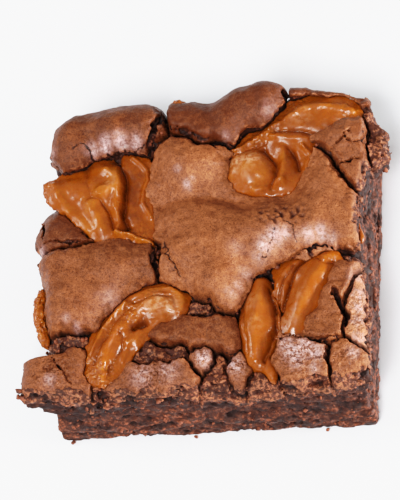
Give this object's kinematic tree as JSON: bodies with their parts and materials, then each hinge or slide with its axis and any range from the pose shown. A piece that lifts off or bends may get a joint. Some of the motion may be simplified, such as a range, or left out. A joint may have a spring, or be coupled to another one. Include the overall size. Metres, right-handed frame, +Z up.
{
  "type": "caramel brownie slice",
  "caption": "Square-cut slice of fudgy chocolate brownie with a cracked, blistered crust, torn crumb sides and glossy caramel runs sunk in its top.",
  "frame": {"origin": "centre of the square base, on the face the slice rests on", "axes": "+Z up out of the crust, -Y out of the cut side nearest the camera, the overhanging corner of crust at -X and -Y"},
  "size_m": [0.0758, 0.0706, 0.0249],
  "materials": {
    "brownie": "baked chocolate batter: satin mid-brown crust on top, dark moist crumb on the sides",
    "caramel": "sticky orange-brown caramel, glossy and slightly translucent"
  },
  "bodies": {
    "root": {"brownie": "brownie", "caramel_back_left": "caramel", "caramel_back_right": "caramel", "caramel_front_left": "caramel", "caramel_front_middle": "caramel", "caramel_front_right": "caramel", "caramel_back_edge": "caramel", "caramel_left_edge": "caramel", "caramel_right_edge": "caramel"}
  },
  "joints": []
}
